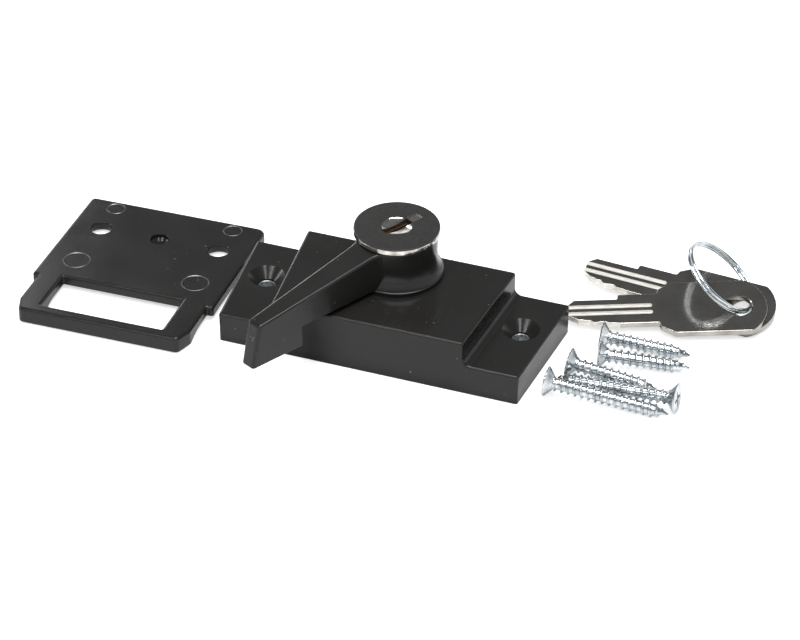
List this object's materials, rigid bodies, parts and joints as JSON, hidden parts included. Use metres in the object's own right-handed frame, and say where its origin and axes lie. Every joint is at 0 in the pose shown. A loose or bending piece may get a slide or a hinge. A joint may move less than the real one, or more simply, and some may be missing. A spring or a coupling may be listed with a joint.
{
  "type": "cooler door lock",
  "caption": "Surface-mounted cooler door lock: keyed turning lever on a cast base, looped strike plate, two keys on a split ring and countersunk screws.",
  "frame": {"origin": "midway between the two ear holes, on the mounting face of the base", "axes": "+X along the base towards its right ear, +Y towards the hub side (back) of the base, +Z out of the door, along the lever's axis"},
  "size_m": [0.2245, 0.1098, 0.0344],
  "materials": {
    "black_enamel": "gloss",
    "chrome_plate": "polished",
    "brass": "machined",
    "zinc_steel": "zinc plated",
    "spring_steel": "bright",
    "nickel_plate": "satin"
  },
  "bodies": {
    "base": {"base_housing": "black_enamel", "lever_stop_pin": "spring_steel", "strike_plate": "black_enamel", "key_front": "nickel_plate", "key_rear": "nickel_plate", "long_screws": "zinc_steel", "short_screws": "zinc_steel"},
    "lever": {"lever_handle": "black_enamel", "lock_barrel": "brass", "barrel_pin": "spring_steel", "barrel_clip": "spring_steel", "bolt_keeper": "zinc_steel", "flat_washer": "zinc_steel", "spring_washer": "spring_steel", "retaining_ring": "spring_steel"},
    "plug": {"cylinder_plug": "brass", "face_disc": "black_enamel", "plug_cam": "zinc_steel", "tumbler_spring_1": "spring_steel", "tumbler_spring_2": "spring_steel", "tumbler_spring_3": "spring_steel", "tumbler_spring_4": "spring_steel", "tumbler_spring_5": "spring_steel"},
    "bolt": {"locking_bolt": "zinc_steel"},
    "ring": {"split_ring": "spring_steel"},
    "tumbler_1": {"tumbler_1": "brass"},
    "tumbler_2": {"tumbler_2": "brass"},
    "tumbler_3": {"tumbler_3": "brass"},
    "tumbler_4": {"tumbler_4": "brass"},
    "tumbler_5": {"tumbler_5": "brass"}
  },
  "joints": [
    {"name": "lever_turn", "type": "hinge", "parent": "base", "child": "lever", "pos_m": [-0.0005, 0.0056, 0], "axis": [0, 0, 1], "range_deg": [-62.9, 27.1]},
    {"name": "plug_turn", "type": "hinge", "parent": "lever", "child": "plug", "pos_m": [-0.0005, 0.0056, 0.03], "axis": [0, 0, 1], "range_deg": [-90, 0]},
    {"name": "bolt_slide", "type": "slide", "parent": "lever", "child": "bolt", "axis": [-0.4555, -0.8902, 0], "range_m": [0, 0.0016]},
    {"name": "tumbler_1_slide", "type": "slide", "parent": "plug", "child": "tumbler_1", "axis": [0.515, 0.8572, 0], "range_m": [0, 0.0008]},
    {"name": "tumbler_2_slide", "type": "slide", "parent": "plug", "child": "tumbler_2", "axis": [0.515, 0.8572, 0], "range_m": [0, 0.0008]},
    {"name": "tumbler_3_slide", "type": "slide", "parent": "plug", "child": "tumbler_3", "axis": [0.515, 0.8572, 0], "range_m": [0, 0.0008]},
    {"name": "tumbler_4_slide", "type": "slide", "parent": "plug", "child": "tumbler_4", "axis": [0.515, 0.8572, 0], "range_m": [0, 0.0008]},
    {"name": "tumbler_5_slide", "type": "slide", "parent": "plug", "child": "tumbler_5", "axis": [0.515, 0.8572, 0], "range_m": [0, 0.0008]},
    {"name": "ring_turn", "type": "hinge", "parent": "base", "child": "ring", "pos_m": [0.09086, 0.04747, 0.00927], "axis": [0.6146, 0.1475, 0.7749], "continuous": true}
  ],
  "couplings": [
    {"joint": "bolt_slide", "follows": "plug_turn", "m_per_rad": -0.0010186}
  ]
}
